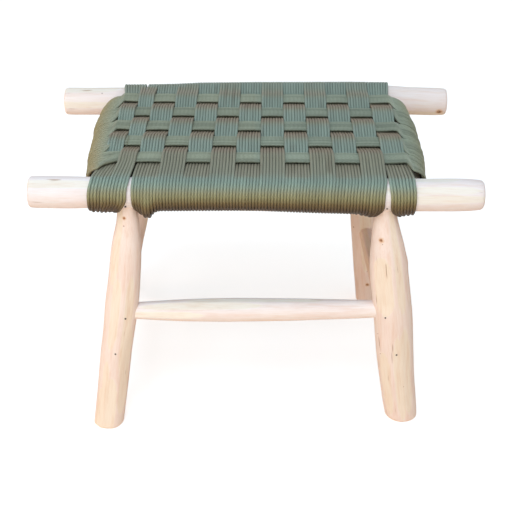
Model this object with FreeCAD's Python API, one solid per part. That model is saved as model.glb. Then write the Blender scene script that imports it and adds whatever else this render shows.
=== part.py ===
import FreeCAD, Part
import os
from math import cos, pi, sin, sqrt

# Low stool: a frame of peeled branches with whittled tenons, and a seat of one
# cord wound front to back and a second cord woven through it from side to side.
# Millimetres. X runs along the rails, to the right as seen from the front, Y to
# the rear and Z up. The origin is on the floor under the middle of the seat.

# Rails
rail_length = 600.0
rail_spacing = 330.0
rail_axis_height = 362.0
front_rail_left_diameter = 42.5
front_rail_right_diameter = 43.4
rear_rail_left_diameter = 42.6
rear_rail_right_diameter = 43.0
rear_rail_bow = 3.0
rail_end_chamfer = 3.0
rail_end_taper = 18.0
rail_overhang = 87.5
side_rail_diameter = 34.0
side_tenon_diameter = 20.0
side_tenon_length = 15.0

# Legs: how far inside the side rail each tenon stands, and how far the foot is splayed from it
front_left_inset = 42.4
front_left_splay_x = 42.2
front_left_splay_y = 16.0
front_left_girth = 45.8
front_right_inset = 41.1
front_right_splay_x = 44.5
front_right_splay_y = -7.0
front_right_girth = 54.1
rear_left_inset = 41.5
rear_left_splay_x = 57.0
rear_left_splay_y = 16.2
rear_left_girth = 45.4
rear_right_inset = 41.5
rear_right_splay_x = 24.0
rear_right_splay_y = 5.0
rear_right_girth = 45.0
foot_chamfer = 3.0
leg_tenon_diameter = 27.0
leg_tenon_rise = 4.0
leg_tenon_below = 6.0

# Stretchers between the legs
front_stretcher_height = 183.8
front_stretcher_girth = 33.4
rear_stretcher_height = 184.0
rear_stretcher_girth = 31.0
left_stretcher_height = 128.0
right_stretcher_front_height = 123.0
right_stretcher_rear_height = 135.0
side_stretcher_girth = 27.0
stretcher_tenon_diameter = 20.0
stretcher_tenon_length = 26.0

# Nails that pin the tenons
nail_shank_width = 2.2
nail_head_width = 2.8
nail_head_thickness = 1.0
nail_length = 32.0
nail_standing_out = 0.5
rail_nail_drop = 11.0
stretcher_nail_depth = 15.0

# Cord seat
cord_diameter = 4.0
weft_cord_count = 8
column_cord_counts = [6, 6, 8, 8, 8, 8, 8, 8, 8, 8, 8, 8, 8]
row_count = 5
front_row_setback = 61.7
rear_row_setback = 50.6
seat_edge_margin = 7.8
left_wrap_spread = 12.8
right_wrap_spread = 3.3
left_leg_gap_width = 4.5
left_leg_gap_offset = 5.9
right_leg_gap_width = 3.5
right_leg_gap_offset = 0.4
rear_gap_index = 8
rear_gap_width = 2.5

# Clearances
joint_fit = 0.15
wrap_gap = 0.2
weave_gap = 0.2
band_gap = 0.3
neck_gap = 0.5
bend_run = 1.0
fan_gap = 4.0
cut_overrun = 20.0

# A drawknife leaves long flats round every branch, and the cords bend over them.
flats = 20
fan_corner_count = 5

# Leg forms: height as a share of the rail axis, lean as a share of the splay,
# and girth as a share of the leg's thickest place.
front_left_shares = [
    (0.0, 1.0, 0.93),
    (0.249, 0.71, 0.95),
    (0.497, 0.38, 1.0),
    (0.724, 0.14, 0.93),
    (0.82, 0.06, 0.825),
    (0.884, 0.0, 0.666),
]
front_right_shares = [
    (0.0, 1.0, 0.86),
    (0.24, 0.7, 0.954),
    (0.464, 0.494, 1.0),
    (0.682, 0.246, 0.965),
    (0.751, 0.174, 0.917),
    (0.887, 0.03, 0.64),
]
rear_left_shares = [
    (0.0, 1.0, 0.93),
    (0.254, 0.76, 0.97),
    (0.434, 0.54, 1.0),
    (0.66, 0.3, 0.96),
    (0.8, 0.14, 0.87),
    (0.89, 0.03, 0.66),
]
rear_right_shares = [
    (0.0, 1.0, 0.93),
    (0.235, 0.646, 0.97),
    (0.434, 0.354, 1.0),
    (0.66, 0.17, 0.96),
    (0.8, 0.07, 0.87),
    (0.89, 0.0, 0.66),
]

# Bar forms: place as a share of the bar's free length, girth as a share of its
# thickest place. The tenons are added at both ends.
front_stretcher_shares = [
    (0.03, 0.67),
    (0.226, 0.93),
    (0.404, 1.0),
    (0.651, 0.93),
    (0.864, 0.79),
    (0.98, 0.69),
]
rear_stretcher_shares = [(0.03, 0.72), (0.3, 0.96), (0.6, 1.0), (0.97, 0.7)]
side_stretcher_shares = [(0.04, 0.86), (0.35, 1.0), (0.7, 0.97), (0.96, 0.84)]
side_rail_shares = [(0.03, 1.0), (0.97, 1.0)]
rear_bow_shares = [(0.25, 0.75), (0.5, 1.0), (0.75, 0.75)]
rail_end_share = 0.955

# The cords part round each neck: half widths of the opening as shares of the
# neck's radius, at heights that are shares of the rail's radius.
parting_waist_share = 0.55
parting_waist_height_share = 0.5
front_parting_top_share = 0.8
rear_parting_top_share = 0.25


def place(axis, along, first, second):
    """A point from its distance along an axis and its other two coordinates, in XYZ order."""
    if axis == "x":
        return FreeCAD.Vector(along, first, second)
    if axis == "y":
        return FreeCAD.Vector(first, along, second)
    return FreeCAD.Vector(first, second, along)


def ring(first, second, radius, start, count, step):
    """Corners at even angles on a circle, as pairs of coordinates."""
    angles = [start + step * index for index in range(count)]
    return [(first + radius * cos(angle), second + radius * sin(angle)) for angle in angles]


def flat_face(corners):
    return Part.Face(Part.makePolygon(corners + corners[:1]))


def branch(axis, stations):
    """A peeled branch: flatted sections (along, first, second, diameter) with straight flanks."""
    step = 2 * pi / flats
    sections = []
    for along, first, second, diameter in stations:
        corners = ring(first, second, diameter / 2, step / 2, flats, step)
        sections.append([place(axis, along, a, b) for a, b in corners])
    faces = [flat_face(sections[0]), flat_face(sections[-1])]
    for low, high in zip(sections, sections[1:]):
        faces += [flat_face([low[k - 1], low[k], high[k], high[k - 1]]) for k in range(flats)]
    shell = Part.makeShell(faces)
    shell.sewShape()
    return Part.makeSolid(shell).removeSplitter()


def station_at(stations, along):
    """The section of a branch at a distance along it, between its two nearest stations."""
    for low, high in zip(stations, stations[1:]):
        if along <= high[0]:
            break
    share = (along - low[0]) / (high[0] - low[0])
    return [a + (b - a) * share for a, b in zip(low, high)][1:]


def bore(axis, tenon):
    """The hole for a straight tenon, given by its two end stations."""
    start, end = tenon
    width = start[3] + 2 * joint_fit
    low = (start[0] - joint_fit, *start[1:3], width)
    high = (end[0] + joint_fit, *end[1:3], width)
    return branch(axis, [low, high])


def rail_stations(y, left_diameter, right_diameter, bow, bow_shares):
    """A rail along X that thins to its chamfered ends, with a bow upwards between them."""
    half = rail_length / 2
    stations = []
    for share, bow_share in [(0.0, 0.0)] + bow_shares + [(1.0, 0.0)]:
        x = (share * 2 - 1) * (half - rail_end_taper)
        diameter = left_diameter + (right_diameter - left_diameter) * share
        stations.append((x, y, rail_axis_height + bow * bow_share, diameter))
    ends = []
    for side, diameter in ((-1, left_diameter * rail_end_share), (1, right_diameter * rail_end_share)):
        face = (side * half, y, rail_axis_height, diameter - 2 * rail_end_chamfer)
        shoulder = (side * (half - rail_end_chamfer), y, rail_axis_height, diameter)
        ends.append([face, shoulder])
    return ends[0] + stations + ends[1][::-1]


def leg_stations(rail, side, inset, splay, girth, shares):
    """A splayed leg along Z, from its chamfered foot to a straight tenon inside the rail."""
    top_x = side * (side_rail_x - inset)
    top_y, axis_z, rail_diameter = station_at(rail, top_x)
    outward = 1 if top_y > 0 else -1
    stations = []
    for height_share, lean_share, girth_share in shares:
        x = top_x + side * splay[0] * lean_share
        y = top_y + outward * splay[1] * lean_share
        stations.append((max(height_share * rail_axis_height, foot_chamfer), x, y, girth * girth_share))
    foot = (0.0, *stations[0][1:3], stations[0][3] - 2 * foot_chamfer)
    root = (axis_z - rail_diameter / 2 - leg_tenon_below, top_x, top_y, leg_tenon_diameter)
    tip = (axis_z + leg_tenon_rise, top_x, top_y, leg_tenon_diameter)
    return [foot] + stations + [root, tip]


def bar_stations(start, end, girth, shares, tenon_diameter, tenon_length):
    """A bar from one host's surface to another's, with a round tenon beyond each end."""
    stations = [(start[0] - tenon_length, start[1], start[2], tenon_diameter)]
    stations.append((start[0], start[1], start[2], tenon_diameter))
    for share, girth_share in shares:
        centre = [a + (b - a) * share for a, b in zip(start, end)]
        stations.append((centre[0], centre[1], centre[2], girth * girth_share))
    stations.append((end[0], end[1], end[2], tenon_diameter))
    stations.append((end[0] + tenon_length, end[1], end[2], tenon_diameter))
    return stations


def leg_side(axis, leg, height, direction):
    """Where a leg's leaning flank faces along X or Y at a tenon's height, as the end of a bar."""
    reach = stretcher_tenon_diameter / 2
    index = "xy".index(axis)
    sections = [station_at(leg, height + offset) for offset in (-reach, 0.0, reach)]
    surface = max(direction * section[index] + section[2] / 2 for section in sections)
    return (direction * surface, sections[1][1 - index], height)


def nail(x, surface_y, z, outward, growth=0.0):
    """A square-cut nail along Y, its head standing just out of the wood at surface_y."""
    head_y = surface_y + outward * (nail_standing_out + growth)
    pieces = []
    for width, length in ((nail_head_width, nail_head_thickness), (nail_shank_width, nail_length)):
        width += 2 * growth
        length += 2 * growth
        corner = FreeCAD.Vector(x - width / 2, min(head_y, head_y - outward * length), z - width / 2)
        pieces.append(Part.makeBox(width, length, width, corner))
    return pieces[0].fuse(pieces[1]).removeSplitter()


def flank_y(centre_y, diameter, offset, outward):
    """Y of a round flank at an offset from its centre line."""
    return centre_y + outward * sqrt((diameter / 2) ** 2 - offset ** 2)


def cut_by(solid, tools):
    for tool in tools:
        if solid.BoundBox.intersect(tool.BoundBox):
            solid = solid.cut(tool)
    return solid


def prism(corners, vector):
    return flat_face(corners).extrude(vector)


def offset_outline(points, offset):
    """A closed outline, given anticlockwise, moved outwards by an offset with mitred corners."""
    moved = []
    for before, point, after in zip(points[-1:] + points[:-1], points, points[1:] + points[:1]):
        normals = []
        for start, end in ((before, point), (point, after)):
            length = sqrt((end[0] - start[0]) ** 2 + (end[1] - start[1]) ** 2)
            normals.append(((end[1] - start[1]) / length, (start[0] - end[0]) / length))
        scale = offset / (1 + normals[0][0] * normals[1][0] + normals[0][1] * normals[1][1])
        moved.append(tuple(value + (a + b) * scale for value, a, b in zip(point, *normals)))
    return moved


def hollow_prism(axis, along, outer, inner, length):
    """The space between two closed outlines across an axis, extruded along it."""
    vector = place(axis, length, 0, 0)
    solids = []
    for outline in (outer, inner):
        solids.append(prism([place(axis, along, a, b) for a, b in outline], vector))
    return solids[0].cut(solids[1])


# Frame
front_y = -rail_spacing / 2
rear_y = rail_spacing / 2
side_rail_x = rail_length / 2 - rail_overhang
front_rail = rail_stations(front_y, front_rail_left_diameter, front_rail_right_diameter, 0.0, [])
rear_rail = rail_stations(
    rear_y, rear_rail_left_diameter, rear_rail_right_diameter, rear_rail_bow, rear_bow_shares
)
legs = {
    "front_left": leg_stations(
        front_rail, -1, front_left_inset, (front_left_splay_x, front_left_splay_y),
        front_left_girth, front_left_shares,
    ),
    "front_right": leg_stations(
        front_rail, 1, front_right_inset, (front_right_splay_x, front_right_splay_y),
        front_right_girth, front_right_shares,
    ),
    "rear_left": leg_stations(
        rear_rail, -1, rear_left_inset, (rear_left_splay_x, rear_left_splay_y),
        rear_left_girth, rear_left_shares,
    ),
    "rear_right": leg_stations(
        rear_rail, 1, rear_right_inset, (rear_right_splay_x, rear_right_splay_y),
        rear_right_girth, rear_right_shares,
    ),
}
cross_heights = {"front": front_stretcher_height, "rear": rear_stretcher_height}
side_heights = {
    "front_left": left_stretcher_height,
    "rear_left": left_stretcher_height,
    "front_right": right_stretcher_front_height,
    "rear_right": right_stretcher_rear_height,
}


def cross_stretcher(end, girth, shares):
    left = leg_side("x", legs[end + "_left"], cross_heights[end], 1)
    right = leg_side("x", legs[end + "_right"], cross_heights[end], -1)
    return bar_stations(left, right, girth, shares, stretcher_tenon_diameter, stretcher_tenon_length)


def side_stretcher(side):
    front = leg_side("y", legs["front_" + side], side_heights["front_" + side], 1)
    rear = leg_side("y", legs["rear_" + side], side_heights["rear_" + side], -1)
    return bar_stations(
        front, rear, side_stretcher_girth, side_stretcher_shares,
        stretcher_tenon_diameter, stretcher_tenon_length,
    )


def side_rail(x):
    front = (front_y + station_at(front_rail, x)[2] / 2, x, rail_axis_height)
    rear = (rear_y - station_at(rear_rail, x)[2] / 2, x, rail_axis_height)
    return bar_stations(
        front, rear, side_rail_diameter, side_rail_shares,
        side_tenon_diameter, side_tenon_length,
    )


cross_bars = {
    "front_stretcher": cross_stretcher("front", front_stretcher_girth, front_stretcher_shares),
    "rear_stretcher": cross_stretcher("rear", rear_stretcher_girth, rear_stretcher_shares),
}
side_bars = {"left_stretcher": side_stretcher("left"), "right_stretcher": side_stretcher("right")}
side_rails = {
    "left_side_rail": side_rail(-side_rail_x),
    "right_side_rail": side_rail(side_rail_x),
}


def rail_nail_places():
    """One nail through each rail into the leg's tenon, from the stool's outer faces."""
    places = []
    for name, leg in legs.items():
        rail, outward = (front_rail, -1) if name.startswith("front") else (rear_rail, 1)
        x = leg[-1][1]
        y, z, diameter = station_at(rail, x)
        places.append((x, flank_y(y, diameter, rail_nail_drop, outward), z - rail_nail_drop, outward))
    return places


def stretcher_nail_places():
    """Two nails in each leg: across the long stretcher's tenon, and into the short one's end."""
    places = []
    for name, leg in legs.items():
        end, side = name.split("_")
        outward = -1 if end == "front" else 1
        inward = 1 if side == "left" else -1
        x, y, diameter = station_at(leg, cross_heights[end])
        offset = inward * (diameter / 2 - stretcher_nail_depth)
        places.append((x + offset, flank_y(y, diameter, offset, outward), cross_heights[end], outward))
        x, y, diameter = station_at(leg, side_heights[name])
        places.append((x, flank_y(y, diameter, 0.0, outward), side_heights[name], outward))
    return places


rail_nails = rail_nail_places()
stretcher_nails = stretcher_nail_places()


def frame_solids():
    """Every branch with the holes that its neighbours' tenons and its nails need."""
    solids = {}
    leg_bores = [bore("x", tenon) for bar in cross_bars.values() for tenon in (bar[:2], bar[-2:])]
    leg_bores += [bore("y", tenon) for bar in side_bars.values() for tenon in (bar[:2], bar[-2:])]
    for name, leg in legs.items():
        solids[name + "_leg"] = cut_by(branch("z", leg), leg_bores)
    rail_bores = [bore("z", leg[-2:]) for leg in legs.values()]
    rail_bores += [bore("y", tenon) for bar in side_rails.values() for tenon in (bar[:2], bar[-2:])]
    solids["front_rail"] = cut_by(branch("x", front_rail), rail_bores)
    solids["rear_rail"] = cut_by(branch("x", rear_rail), rail_bores)
    for name, bar in cross_bars.items():
        solids[name] = branch("x", bar)
    for name, bar in list(side_bars.items()) + list(side_rails.items()):
        solids[name] = branch("y", bar)
    nail_holes = [nail(*spot, growth=joint_fit) for spot in rail_nails + stretcher_nails]
    return {name: cut_by(solid, nail_holes) for name, solid in solids.items()}


# Seat. The weft lies straight, its upper layer of cords over a nested lower
# layer, and the warp bends over and under it, on both faces of the frame.
flat_share = cos(pi / flats)
weft_width = weft_cord_count * cord_diameter
weft_thickness = cord_diameter * (1 + sqrt(3) / 2)
warp_lift = weft_thickness / 2 + cord_diameter / 2 + weave_gap
front_rail_radius = max(front_rail_left_diameter, front_rail_right_diameter) / 2
weave_rise = max(
    front_rail_radius + wrap_gap + cord_diameter / 2,
    sqrt((side_rail_diameter / 2) ** 2 - seat_edge_margin**2) + wrap_gap + cord_diameter / 2 + warp_lift,
)
first_row_y = rear_y - rear_row_setback
last_row_y = front_y + front_row_setback
row_pitch = (first_row_y - last_row_y) / (row_count - 1)
row_centres = [first_row_y - row_pitch * row for row in range(row_count)]
seat_edge = side_rail_x - seat_edge_margin
cord_count = sum(column_cord_counts)
warp_pitch = 2 * seat_edge / cord_count
left_gap_x = legs["front_left"][-1][1] + left_leg_gap_offset
right_gap_x = legs["front_right"][-1][1] + right_leg_gap_offset
left_group_end = column_cord_counts[0] + column_cord_counts[1]
right_group_start = cord_count - column_cord_counts[-1]


def seat_x(cord):
    """Left edge of a warp cord on the seat, counted from the left."""
    return -seat_edge + warp_pitch * cord


def front_x(cord, side):
    """Edge of a warp cord on the front rail, where the legs part the cords in three groups.

    side is 1 for the edge that starts a band and -1 for the one that ends it.
    """
    if cord + side / 2 < left_group_end:
        start, end = 0, left_group_end
        low = -seat_edge - left_wrap_spread
        high = left_gap_x - left_leg_gap_width / 2
    elif cord + side / 2 < right_group_start:
        start, end = left_group_end, right_group_start
        low = left_gap_x + left_leg_gap_width / 2
        high = right_gap_x - right_leg_gap_width / 2
    else:
        start, end = right_group_start, cord_count
        low = right_gap_x + right_leg_gap_width / 2
        high = seat_edge + right_wrap_spread
    return low + (high - low) * (cord - start) / (end - start)


def neck_space(leg, rail, outward, top_x, top_share):
    """The room that the cords leave round a leg's neck, and the parting above it."""
    y, axis_z, diameter = station_at(rail, leg[-1][1])
    x = leg[-1][1]
    neck = leg_tenon_diameter / 2 + neck_gap
    radius = diameter / 2
    waist = neck * parting_waist_share
    waist_z = axis_z - radius * parting_waist_height_share
    low_z = leg[-2][0] - leg_tenon_below
    outline = [
        (top_x, axis_z + radius * top_share),
        (x - waist, waist_z),
        (x - neck, axis_z - radius),
        (x - neck, low_z),
        (x + neck, low_z),
        (x + neck, axis_z - radius),
        (x + waist, waist_z),
    ]
    points = [FreeCAD.Vector(px, y, pz) for px, pz in outline]
    parting = prism(points, FreeCAD.Vector(0, outward * (radius + cut_overrun), 0))
    room = Part.makeCylinder(neck, axis_z - low_z, FreeCAD.Vector(x, y, low_z))
    return room.fuse(parting)


def neck_spaces():
    return [
        neck_space(legs["front_left"], front_rail, -1, left_gap_x, front_parting_top_share),
        neck_space(legs["front_right"], front_rail, -1, right_gap_x, front_parting_top_share),
        neck_space(legs["rear_left"], rear_rail, 1, legs["rear_left"][-1][1], rear_parting_top_share),
        neck_space(legs["rear_right"], rear_rail, 1, legs["rear_right"][-1][1], rear_parting_top_share),
    ]


def wrap(rail, low_x, high_x, start):
    """Bends of a band's cords over the flats of a rail, from an angle on through half a turn."""
    y, low_z, low_diameter = station_at(rail, low_x)
    y, high_z, high_diameter = station_at(rail, high_x)
    flat = max(low_diameter, high_diameter) / 2 * flat_share + abs(high_z - low_z) / 2
    radius = (flat + wrap_gap + cord_diameter / 2) / flat_share
    step = 2 * pi / flats
    return ring(y, (low_z + high_z) / 2, radius, start - step / 2, flats // 2 + 2, step)


def warp_knots(column):
    """Bends of a column's cords: level over or under each row, sloping between the rows."""
    knots = []
    reach = weft_width / 2 + bend_run
    for row, y in enumerate(row_centres):
        lift = -warp_lift if (row + column) % 2 == 0 else warp_lift
        knots += [(y + reach, weave_rise + lift), (y - reach, weave_rise + lift)]
    return knots


def warp_band(column, necks):
    """One column of the seat: its cords side by side, once round both rails."""
    start = sum(column_cord_counts[:column])
    end = start + column_cord_counts[column]
    front_low, front_high = front_x(start, 1) + band_gap / 2, front_x(end, -1) - band_gap / 2
    seat_low, seat_high = seat_x(start) + band_gap / 2, seat_x(end) - band_gap / 2
    low_x, high_x = min(front_low, seat_low), max(front_high, seat_high)
    knots = warp_knots(column)
    path = [(y, rail_axis_height + rise) for y, rise in knots]
    path += wrap(front_rail, low_x, high_x, pi / 2)
    path += [(y, rail_axis_height - rise) for y, rise in reversed(knots)]
    path += wrap(rear_rail, low_x, high_x, -pi / 2)
    outer = offset_outline(path, cord_diameter / 2)
    inner = offset_outline(path, -cord_diameter / 2)
    solid = hollow_prism("x", low_x, outer, inner, high_x - low_x)
    front_end = front_y - front_rail_radius - cut_overrun
    rear_end = rear_y + front_rail_radius + cut_overrun
    bend_y = knots[-1][0]
    outline = [
        (front_low, front_end),
        (front_low, front_y),
        (seat_low, bend_y),
        (seat_low, rear_end),
        (seat_high, rear_end),
        (seat_high, bend_y),
        (front_high, front_y),
        (front_high, front_end),
    ]
    plan = prism([FreeCAD.Vector(x, y, 0) for x, y in outline], FreeCAD.Vector(0, 0, 2 * rail_axis_height))
    solid = cut_by(solid.common(plan), necks)
    if start < rear_gap_index < end:
        corner = FreeCAD.Vector(seat_x(rear_gap_index) - rear_gap_width / 2, knots[0][0], 0)
        slot = Part.makeBox(rear_gap_width, rear_end - knots[0][0], 2 * rail_axis_height, corner)
        solid = solid.cut(slot)
    return solid


def rounded_outline(half_width, half_height, radius):
    """An upright rectangle round the seat's middle height, its corners bent in a few flats."""
    step = pi / 2 / fan_corner_count
    corners = [(1, 1), (-1, 1), (-1, -1), (1, -1)]
    points = []
    for quarter, (side, rise) in enumerate(corners):
        x = side * (half_width - radius)
        z = rail_axis_height + rise * (half_height - radius)
        points += ring(x, z, radius, quarter * pi / 2, fan_corner_count + 1, step)
    return points


def weft_band(row):
    """One row of the weave, narrow across the seat and fanned out where it wraps the side rails."""
    wrap_x = side_rail_x + side_rail_diameter / 2 + wrap_gap
    inner_rise = weave_rise - weft_thickness / 2
    outer_rise = weave_rise + weft_thickness / 2
    corner = min(wrap_x - seat_edge, inner_rise - bend_run)
    outer = rounded_outline(wrap_x + cord_diameter, outer_rise, corner + cord_diameter)
    inner = rounded_outline(wrap_x, inner_rise, corner)
    fan = row_pitch - band_gap
    y = row_centres[row] - fan / 2
    solid = hollow_prism("y", y, outer, inner, fan)
    waist = (fan - weft_width) / 2
    shoulder = seat_edge + fan_gap
    for corner_y in (y, y + fan - waist):
        corner = FreeCAD.Vector(-shoulder, corner_y, 0)
        solid = solid.cut(Part.makeBox(2 * shoulder, waist, 2 * rail_axis_height, corner))
    return solid


def build():
    solids = frame_solids()
    necks = neck_spaces()
    for column in range(len(column_cord_counts)):
        solids["warp_band_%02d" % (column + 1)] = warp_band(column, necks)
    for row in range(row_count):
        solids["weft_band_%d" % (row + 1)] = weft_band(row)
    solids["rail_nails"] = Part.makeCompound([nail(*spot) for spot in rail_nails])
    solids["stretcher_nails"] = Part.makeCompound([nail(*spot) for spot in stretcher_nails])
    return solids


os.makedirs("parts", exist_ok=True)
for name, solid in build().items():
    solid.exportStep("parts/" + name + ".step")
    print(name, len(solid.Solids), "solids,", round(solid.Volume / 1000, 1), "cm3")
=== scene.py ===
import bpy
import bmesh
import math
import random
import numpy
from mathutils import Matrix, Vector, noise


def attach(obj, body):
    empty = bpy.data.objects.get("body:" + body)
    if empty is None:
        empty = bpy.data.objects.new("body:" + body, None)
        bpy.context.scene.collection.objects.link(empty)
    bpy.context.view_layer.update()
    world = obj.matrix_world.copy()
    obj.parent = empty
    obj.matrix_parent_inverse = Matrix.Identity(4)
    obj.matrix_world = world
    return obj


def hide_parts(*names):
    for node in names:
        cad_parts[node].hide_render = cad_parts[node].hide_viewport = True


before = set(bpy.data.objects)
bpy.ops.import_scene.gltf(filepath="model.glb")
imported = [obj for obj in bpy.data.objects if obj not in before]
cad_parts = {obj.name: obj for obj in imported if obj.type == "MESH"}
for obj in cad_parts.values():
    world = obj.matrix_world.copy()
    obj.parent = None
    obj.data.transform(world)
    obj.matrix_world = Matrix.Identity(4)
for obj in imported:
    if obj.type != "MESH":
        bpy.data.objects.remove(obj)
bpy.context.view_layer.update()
random.seed(11)
mm = 0.001  # the tables are in millimetres, the scene in metres


def addNode(tree, kind, inputs=None, **settings):
    # an input is a value, a socket, or a node that stands for its first output
    node = tree.nodes.new("ShaderNode" + kind)
    for key, value in settings.items():
        setattr(node, key, value)
    for socket, value in (inputs or {}).items():
        value = value.outputs[0] if isinstance(value, bpy.types.Node) else value
        if isinstance(value, bpy.types.NodeSocket):
            tree.links.new(value, node.inputs[socket])
        else:
            node.inputs[socket].default_value = value
    return node


def linearColor(hexText):
    values = [int(hexText[k:k + 2], 16) / 255 for k in (1, 3, 5)]
    return [v / 12.92 if v <= 0.04045 else ((v + 0.055) / 1.055) ** 2.4 for v in values] + [1.0]


def setRamp(node, stops):
    ramp = node.color_ramp
    while len(ramp.elements) < len(stops):
        ramp.elements.new(0.5)
    for element, (place, value) in zip(ramp.elements, stops):
        element.position = place
        element.color = linearColor(value) if isinstance(value, str) else (value, value, value, 1.0)
    return node.outputs["Color"]


def tint(tree, color, stops, value, amount=1.0):
    # darkens a colour by the stops of a ramp
    ramp = setRamp(addNode(tree, "ValToRGB", {"Fac": value}), stops)
    return addNode(tree, "Mix", {0: amount, 6: color, 7: ramp}, data_type="RGBA",
                   blend_type="MULTIPLY").outputs[2]


def startMaterial(name):
    material = bpy.data.materials.new(name)
    material.use_nodes = True
    material.node_tree.nodes.clear()
    return material, material.node_tree


def between(table, key):
    # reads rows (key, value, value ...) that run up in key, with straight lines between them
    if key <= table[0][0]:
        return table[0][1:]
    for low, high in zip(table, table[1:]):
        if key <= high[0]:
            share = (key - low[0]) / (high[0] - low[0])
            return [a + (b - a) * share for a, b in zip(low[1:], high[1:])]
    return table[-1][1:]


def addObject(name, data):
    added = bpy.data.objects.new(name, data)
    bpy.context.scene.collection.objects.link(added)
    return added


def addPiece(name, mesh, material, slot, *nodes):
    piece = addObject(name, mesh)
    mesh.materials.clear()
    mesh.materials.append(material)
    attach(piece, "root")
    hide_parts(*nodes)
    return piece


# a long lens from the front that looks down on the seat: metres, degrees, millimetres for lens and sensor
camera = {"place": (0.0007, -1.4879, 1.0117), "down": 29.32, "roll": 0.351, "lens": 78.75, "sensor": 36}
cameraData = bpy.data.cameras.new("camera")
cameraData.lens = camera["lens"]
cameraData.sensor_width = camera["sensor"]
cameraObject = addObject("camera", cameraData)
tilt = Matrix.Rotation(math.radians(90 - camera["down"]), 4, "X")
roll = Matrix.Rotation(math.radians(camera["roll"]), 4, "Z")
cameraObject.matrix_world = Matrix.Translation(camera["place"]) @ tilt @ roll
bpy.context.scene.camera = cameraObject
print("camera set")


# the braided cord of both layers of the seat
cordLook = {
    "strandTurns": 4,
    "period": 6.0,         # the real braid repeats every 4 mm, drawn coarser so that it shows
    "fibres": (900.0, 2.0),    # noise scale and detail: filaments about 1 mm long
    "patches": (9.0, 3.0),     # noise scale and detail: faded patches about 110 mm across
    "dye": ((0.35, "#939d8e"), (0.55, "#9ea999"), (0.63, "#838879"), (0.8, "#939887"), (1.0, "#a8ac99")),
    "valley": ((0.15, 0.55), (0.75, 1.0)),   # shade in the valleys of the plait, by height
    "grooveShade": ((0.75, 1.0), (1.0, 0.94)),    # painted shade between neighbours, by the way out to the flank
    "fibreShare": 0.35,        # of the filaments in the plait's height
    "patchShare": 0.5,         # of the patches in the dye's tone
    # painted light by the degrees that a turn faces up (0 forwards, 90 up, beyond that to the rear), fitted to
    # the photograph's view: a painted cool reflection on turns that face up and forwards, painted warm shade
    # on those that face down or to the rear
    "facingPaintedLight": (
        (-90, "#6c4a33"), (-30, "#8f674a"), (-7, "#cca37a"), (14, "#f7e1b9"), (28, "#fdebd2"), (46, "#f3f8f4"),
        (62, "#ecfaff"), (82, "#eef5fb"), (88, "#eeebe7"), (93, "#ecdad0"), (100, "#e7c4b5"), (110, "#deb3a3"),
        (135, "#d4b4a5"), (190, "#c5ad90"), (270, "#7e5f3f")),
    # the same for the turns round the side rails, by the degrees that they face up on each side
    "sideFacing": {"left": (-35, 0, 45), "right": (-35, 32, 50)},
    # least degrees on top of the seat, by the place in metres: columns over or under the foremost row
    "frontFacing": {"over": ((-0.168, 0), (-0.156, 91), (-0.080, 93), (-0.070, 86), (-0.060, 0)),
                    "under": ((-0.168, 0), (-0.156, 92), (-0.110, 93), (-0.100, 0))},
    "nearRow": 0.004,          # reach of a row's middle along the warp, in metres
    # between these places in metres the tint lags behind the bends, by a mean over these rings
    "lag": {"front": -0.125, "rear": 0.14, "rings": range(-2, 5)},
    # the tint is nearly even over the rear rail: from this place, between these degrees
    "rearRoll": {"place": 0.15, "low": 90, "high": 150, "least": 66, "share": 0.2},
    # painted light: how much lighter the turns on the side rails' outer edges are drawn, by x in metres
    "sidePaintedLight": ((-0.215, 0.3), (-0.198, 0.0), (0.2, 0.0), (0.215, 0.12)),
}


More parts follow.
